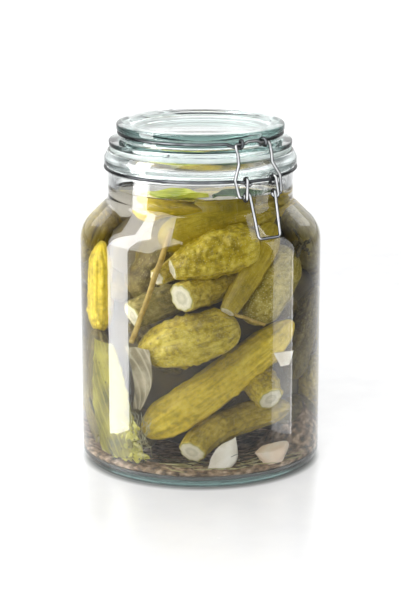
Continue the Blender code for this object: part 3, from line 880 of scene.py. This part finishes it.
def torn_leaf(along, across):
    """A torn, crumpled leaf at the foot of the long one."""
    height = 14 + 25 * along + 2 * sin(9 * across + 3 * along)
    ragged = 1 + 0.25 * sin(21 * along) + 0.2 * sin(47 * along + 2)
    around = radians(-39 + (9 - 5 * along) * across * ragged + 2 * sin(9 * along))
    return at_bearing(around, 70.6 + sin(11 * across + 8 * along) + 0.6 * sin(23 * along), height)


def soaked_petal(along, across):
    """A thin cupped petal behind the long leaf's right edge."""
    slant = 3.5 * sin(pi * along)
    around = radians(-33 + slant + (1.5 + 5.5 * along**0.6) * across)
    reach = 68.5 + 3 * across**2 + 0.5 * sin(12 * along + 5 * across)
    return at_bearing(around, reach, 48 + 40 * along)


def strand(start, end, sag, kinks, seed):
    """Points in millimetres of a sagging, kinked line that keeps inside the glass."""
    start, end, sag = Vector(start), Vector(end), Vector(sag)
    points = []
    for step in range(25):
        part = step / 24
        spot = Vector((part * 4, seed, 0))
        wander = Vector((noise.noise(spot), noise.noise(spot + Vector((9, 0, 0))), noise.noise(spot.zxy)))
        place = start + (end - start) * part + sag * 4 * part * (1 - part) + wander * kinks
        place.xy *= min(1, THREAD_REACH / place.xy.length)
        points.append(to_part(place) / MM)
    return points


def tangle(name, strands, thickness, finish):
    """Stalks or dill threads along strands, joined into one piece."""
    points = []
    faces = []
    for line in strands:
        more, sheets = wire_shape(line, thickness, sides=8)
        faces += [[len(points) + corner for corner in sheet] for sheet in sheets]
        points += more
    piece_from(name, points, faces, [finish], *IN_HEAP)


def scattered(count, bearings, reaches, heights, lengths, kinks, seed):
    """Short strands that lie roughly round the wall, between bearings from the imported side."""
    draw = random.Random(seed)
    lines = []
    for number in range(count):
        bearing = radians(draw.uniform(*bearings))
        reach = draw.uniform(*reaches)
        heading = bearing + pi / 2 + draw.uniform(-0.7, 0.7)
        start = at_bearing(bearing, reach, draw.uniform(*heights))
        end = start + at_bearing(heading, draw.uniform(*lengths), 0)
        end.z = draw.uniform(*heights)
        lines.append(strand(start, end, (0, draw.uniform(0, 2), 0), kinks, number))
    return lines


def sprig(middle, count, spread, seed):
    """Short strands that part from one place."""
    draw = random.Random(seed)
    lines = []
    for number in range(count):
        away = Vector((draw.uniform(-1, 1), draw.uniform(-0.3, 0.3), draw.uniform(-1, 1))).normalized()
        lines.append(strand(middle, Vector(middle) + away * spread, (0, 0, 0), 1.5, number))
    return lines


def make_bed(finish):
    """The layer of herbs and spice dust on the jar's floor, with a drift against the right wall."""
    drift_middle = to_part((49, 2, 0)) / MM
    rings, steps = 34, 96
    points = [(0, 0, BED_HEIGHT * MM)]
    for ring in range(1, rings + 1):
        reach = BED_REACH * ring / rings
        edge = max(0, (reach - 62) / 9)
        for step in range(steps):
            angle = 2 * pi * step / steps
            bumps = noise.noise(ray(angle) * reach / 5)
            drift = (ray(angle) * reach - drift_middle).length / DRIFT_RADIUS
            height = 11.4 + 1.4 * bumps - 1.6 * edge**2
            height += (26 + 8 * bumps) * exp(-(drift**2))
            points.append((reach * cos(angle) * MM, reach * sin(angle) * MM, height * MM))
    for step in range(steps):
        angle = 2 * pi * step / steps
        points.append((71.0 * cos(angle) * MM, 71.0 * sin(angle) * MM, 7.3 * MM))
    faces = [(0, 1 + step, 1 + (step + 1) % steps) for step in range(steps)]
    for here in range(1, 1 + rings * steps, steps):
        for step in range(steps):
            after = (step + 1) % steps
            faces.append((here + step, here + steps + step, here + steps + after, here + after))
    faces.append(tuple(reversed(range(1 + rings * steps, 1 + (rings + 1) * steps))))
    piece_from("herb_bed", points, faces, [finish], *IN_HEAP)


# ---- build

glass = clear_glass("sea_green_pressed_glass", "80AAA6", 15, 26, 0.2)
lid_glass = clear_glass("sea_green_lid_glass", "8EBCB6", 18, 30, 0.15)
steel = plated_wire("bright_plated_steel", "E4E7EA", "FCFCFC")
# A darker copy of the same steel, as painted shade, for the bands that lie under the lid rim and round the
# neck.
shaded_steel = plated_wire("shaded_plated_steel", "54585C", "A4A8AC")
seal = seal_rubber()
brine = brine_liquid()

jar = turned("glass_jar", JAR_PROFILE, glass, "filled_jar", "jar_glass", ["jar"])
mark_points(jar, "wetted", lambda point: lies_inside(point) and point.co.z < SURFACE * MM)
mark_points(jar, "misted", lambda point: lies_inside(point) and point.co.z > MIST_START * MM)
turned("glass_lid", LID_PROFILE, lid_glass, "lid_part", "lid_glass", ["lid"])
turned("seal_ring", SEAL_PROFILE, seal, "lid_part", "gasket", ["gasket"], closed=True)
liquid = turned("brine", BRINE_PROFILE, brine, "filled_jar", None)
mark_points(liquid, "wetted", lambda point: point.normal.z < 0.7)

drawn_wire("neck_wire", neck_band_path(), shaded_steel, "filled_jar", "neck_band", cyclic=True)
drawn_wire("lid_wire", lid_band_path(), shaded_steel, "lid_part", "lid_band")
drawn_wire("link_wire", link_path(), steel, "link_part", "link")
drawn_wire("lever_wire", lever_path(), steel, "lever_part", "lever")

SKINS = {
    "smooth": gherkin_skin("smooth_olive_skin", "7B6B12", "A48F20", "BCA93C", 0.15, 0.15, 0.2, 0.25),
    "bright": gherkin_skin("warty_yellow_skin", "86741A", "B6A024", "D6C450", 0.45, 0.35),
    "ripe": gherkin_skin("ripe_olive_skin", "857416", "B09A2C", "CDBC58", 0.35, 0.3),
    "golden": gherkin_skin("golden_skin", "A8921E", "E0C636", "F6E668", 0.1, 0.1, 0.2, 0.25),
    "dull": gherkin_skin("dull_olive_skin", "6F6434", "918448", "B3A768", 0.2, 0.2),
    "stippled": gherkin_skin("stippled_skin", "7A6C20", "9C8C38", "BFB060", 0.9, 0.6),
    "shaded": gherkin_skin("shaded_skin", "50462A", "6C6036", "8A7C4A", 0.3, 0.3),
}
flesh = gherkin_flesh()
for group, shapes, seed, fineness in (
    ("front", PACKED_GHERKINS, 100, FINE),
    ("back", back_gherkins(), 300, PLAIN),
    ("inner", inner_gherkins(), 500, PLAIN),
):
    for number, shape in enumerate(shapes):
        skins = [SKINS[shape.skin], flesh]
        make_gherkin(f"{group}_gherkin_{number}", shape, skins, seed + number, *fineness)

# Painted shade: a dark mottled mass fills the middle of the heap, where deep between the gherkins there is
# only shade.
core = mottled("shaded_middle", ["4A443A", "6B6350", "7D7350"], 45, 0.6, 1.5, 70)
lumpy_ball("painted_shade_middle", (0, -10, 10), (0, -10, 164), (50, 54, 40), core, 7, flat=0.74, lump=0.06)

garlic = mottled("wet_garlic", ["DDD5C4", "EFE9DC", "FAF6EE"], 110, 0.35, 0.4, 160)
pink_garlic = mottled("wet_pink_garlic", ["E2C8AC", "F2DEC8", "FAEFE0"], 90, 0.35, 0.4, 160)
cut = ((-0.3, 1, 0.2), 2)
lumpy_ball("garlic_wedge", (2.5, 68, 10.5), (21, 60, 31), (0.6, 7.5, 0.8), garlic, 1, (3, 0, -2), cut, 0.6)
cut = ((-0.1, 0.2, 1), 3.5)
lumpy_ball("garlic_half", (32, 55, 20), (53, 42, 20), (2, 9.6, 5.5), pink_garlic, 2, (0, 0, -3), cut, 0.66)
chip_face = ((42.5, 43, 81), (54, 34.5, 80), (51.5, 36, 71.5), (46.5, 39.5, 71.5))
chip_points = [to_part((right, front - back, up)) for back in (0, 2.4) for right, front, up in chip_face]
chip_sides = [(side, (side + 1) % 4, (side + 1) % 4 + 4, side + 4) for side in range(4)]
chip_faces = [(0, 3, 2, 1), (4, 5, 6, 7)] + chip_sides
piece_from("garlic_chip", chip_points, chip_faces, [garlic], *IN_HEAP, smooth=False)

herbs = mottled("sodden_herbs", ["3A3024", "6E5A44", "A98F74", "D6C2A6"], 210, 0.7, 1.6, 420)
make_bed(herbs)
straw = mottled("dill_stalk", ["8E7634", "A9904A", "BCA560"], 200, 0.5, 0.2, 500)
pale_straw = mottled("pale_dill_thread", ["8E8656", "B0A878", "CBC6A0"], 200, 0.5, 0.2, 500)
dark_dill = mottled("dark_dill_thread", ["2E2A1E", "453F2C", "5E5638"], 200, 0.6, 0.2, 500)
tangle("dill_stalk", [strand((-17, 51, 160), (-41, 51, 90), (0, 3, 0), 0.8, 1)], 3.4, straw)
tangle("dill_twig", [strand((20, 62, 111), (38, 54, 102), (0, 0, 0), 0.6, 2)], 2.2, straw)
straws = scattered(22, (-30, 48), (58, 71.5), (10.5, 13), (12, 34), 0.4, 5)
tangle("straw_threads", straws, 0.7, pale_straw)
dark_bits = scattered(40, (-60, 70), (44, 65), (11, 15), (10, 26), 0.5, 6)
tangle("dark_threads", dark_bits, 0.7, dark_dill)
fibres = scattered(22, (-40, -32), (66, 71.5), (16, 46), (4, 9), 4, 9)
tangle("pale_web", fibres, 0.35, pale_straw)
crack = strand((18.6, 67.2, 19.4), (23.6, 66.4, 21.2), (0, 0, 0.3), 0.05, 4)
tangle("garlic_crack", [crack], 0.4, dark_dill)
tangle("shaded_stalk", [strand((-67, 20, 44), (-52, 48, 12), (0, 2, 0), 0.6, 3)], 3, dark_dill)
tangle("dill_sprig", sprig((60, 30, 147), 8, 8, 8), 2, dark_dill)

yellow_leaf = leaf_blade("soaked_yellow_leaf", "8E9E1E", "C8CE2E", "F0EE8C", vein_count=5)
torn_yellow = leaf_blade("torn_yellow_leaf", "6E6A24", "C0B840", "EEE88C", 0.95)
petal = leaf_blade("soaked_petal", "746C50", "94896A", "C8BEA0", vein_count=1.6)
brown_leaf = leaf_blade("soaked_brown_leaf", "5C5616", "847C20", "AAA042", 0.9)
green_leaf = leaf_blade("soaked_green_leaf", "143010", "2E4E2A", "A0B488", vein_count=14)
floating_yellow = floating_leaf((-37, 27, 180.2), (5, 37, 180.2), 14, 2.2)
make_leaf("top_leaf", floating_yellow, yellow_leaf, "leaf", "top_leaf")
floating_green = floating_leaf((8, 37, 180.2), (46, 17, 180.2), 14, 1.4)
make_leaf("green_leaf", floating_green, green_leaf, "green_leaf", "green_leaf")
make_leaf("wall_leaf", wall_leaf, brown_leaf, "leaf", "wall_leaf")
make_leaf("torn_leaf", torn_leaf, torn_yellow, "leaf", "wall_leaf")
make_leaf("soaked_petal", soaked_petal, petal, "leaf", "gherkin_heap", 0.3)

# ---- studio

CAMERA_AZIMUTH = PACKED_TURN  # round from -Y
CAMERA_REACH = 1.343
CAMERA_HEIGHT = 0.439
CAMERA_PITCH = radians(14.03)


def toward_camera(distance, height):
    """A place on the camera's side, or behind with a distance below 0, in metres."""
    return Vector((sin(CAMERA_AZIMUTH) * distance, -cos(CAMERA_AZIMUTH) * distance, height))


def softbox(name, place, width, tall, radiance, aim=(0, 0, 100), lights=True, shines=True):
    """A flat lamp at a (right, front, up) place in millimetres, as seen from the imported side.

    A lamp that only lights doesn't show in the glass. One that only shines does nothing else.
    """
    lamp = bpy.data.lights.new(name, "AREA")
    lamp.shape = "RECTANGLE"
    lamp.size = width
    lamp.size_y = tall
    lamp.energy = radiance * pi * width * tall
    obj = in_scene(name, lamp)
    obj.location = to_part(place)
    obj.rotation_euler = (to_part(aim) - obj.location).to_track_quat("-Z", "Y").to_euler()
    obj.visible_diffuse = lights
    obj.visible_glossy = shines
    obj.visible_transmission = shines


softbox("key_softbox", (-600, 800, 930), 0.9, 0.9, 3.3, shines=False)
softbox("low_softbox", (-150, 1100, 260), 0.9, 0.5, 6.1, shines=False)
softbox("fill_softbox", (1100, 800, 700), 1, 1, 1.3, shines=False)
softbox("side_window", (-853, 261, 903), 1.2, 1.25, 5.4, lights=False)
softbox("left_strip", (-140, 65, 175), 0.054, 0.35, 10.5, aim=(0, 65, 175), lights=False)
softbox("right_strip", (140, 65, 175), 0.054, 0.35, 2.7, aim=(0, 65, 175), lights=False)
softbox("right_strip_rim", (140, 40, 175), 0.004, 0.35, 4, aim=(0, 40, 175), lights=False)
softbox("back_softbox", (0, -1606, 1884), 4, 3, 1.15)

FLOOR_REACH = 9.0
floor_mesh = bpy.data.meshes.new("studio_floor")
floor_corners = [(x * FLOOR_REACH, y * FLOOR_REACH, 0) for x, y in ((-1, -1), (1, -1), (1, 1), (-1, 1))]
floor_mesh.from_pydata(floor_corners, [], [(0, 1, 2, 3)])
right_side = to_part((1, 0, 0)) / MM
floor_mesh.materials.append(studio_floor(toward_camera(1, 0), right_side))
floor = in_scene("studio_floor", floor_mesh)

world = bpy.data.worlds.new("white_studio")
world.use_nodes = True
air = world.node_tree
heading = add_node(air, "TexCoord").outputs["Generated"]
away = toward_camera(-1, 0.25)
behind = add_node(air, "VectorMath", {0: heading, 1: away}, operation="DOT_PRODUCT")
share = add_node(air, "MapRange", {"Value": behind, "From Min": -1})
sky = add_node(air, "ValToRGB", {"Fac": share}, stops=[(0.2, "303133"), (0.76, "46484A"), (0.96, "FFFFFF")])
air.links.new(sky.outputs["Color"], air.nodes["Background"].inputs["Color"])

scene = bpy.context.scene
scene.world = world
lens = bpy.data.cameras.new("picture_camera")
lens.sensor_fit = "VERTICAL"
lens.sensor_height = 36.0
lens.lens = 127.35
camera = in_scene("picture_camera", lens)
camera.location = toward_camera(CAMERA_REACH, CAMERA_HEIGHT)
camera.rotation_euler = (pi / 2 - CAMERA_PITCH, 0, CAMERA_AZIMUTH)
scene.camera = camera

scene.view_settings.view_transform = "Standard"
scene.cycles.max_bounces = 24
scene.cycles.transmission_bounces = 20
scene.cycles.glossy_bounces = 8
scene.cycles.transparent_max_bounces = 24
scene.cycles.use_denoising = True
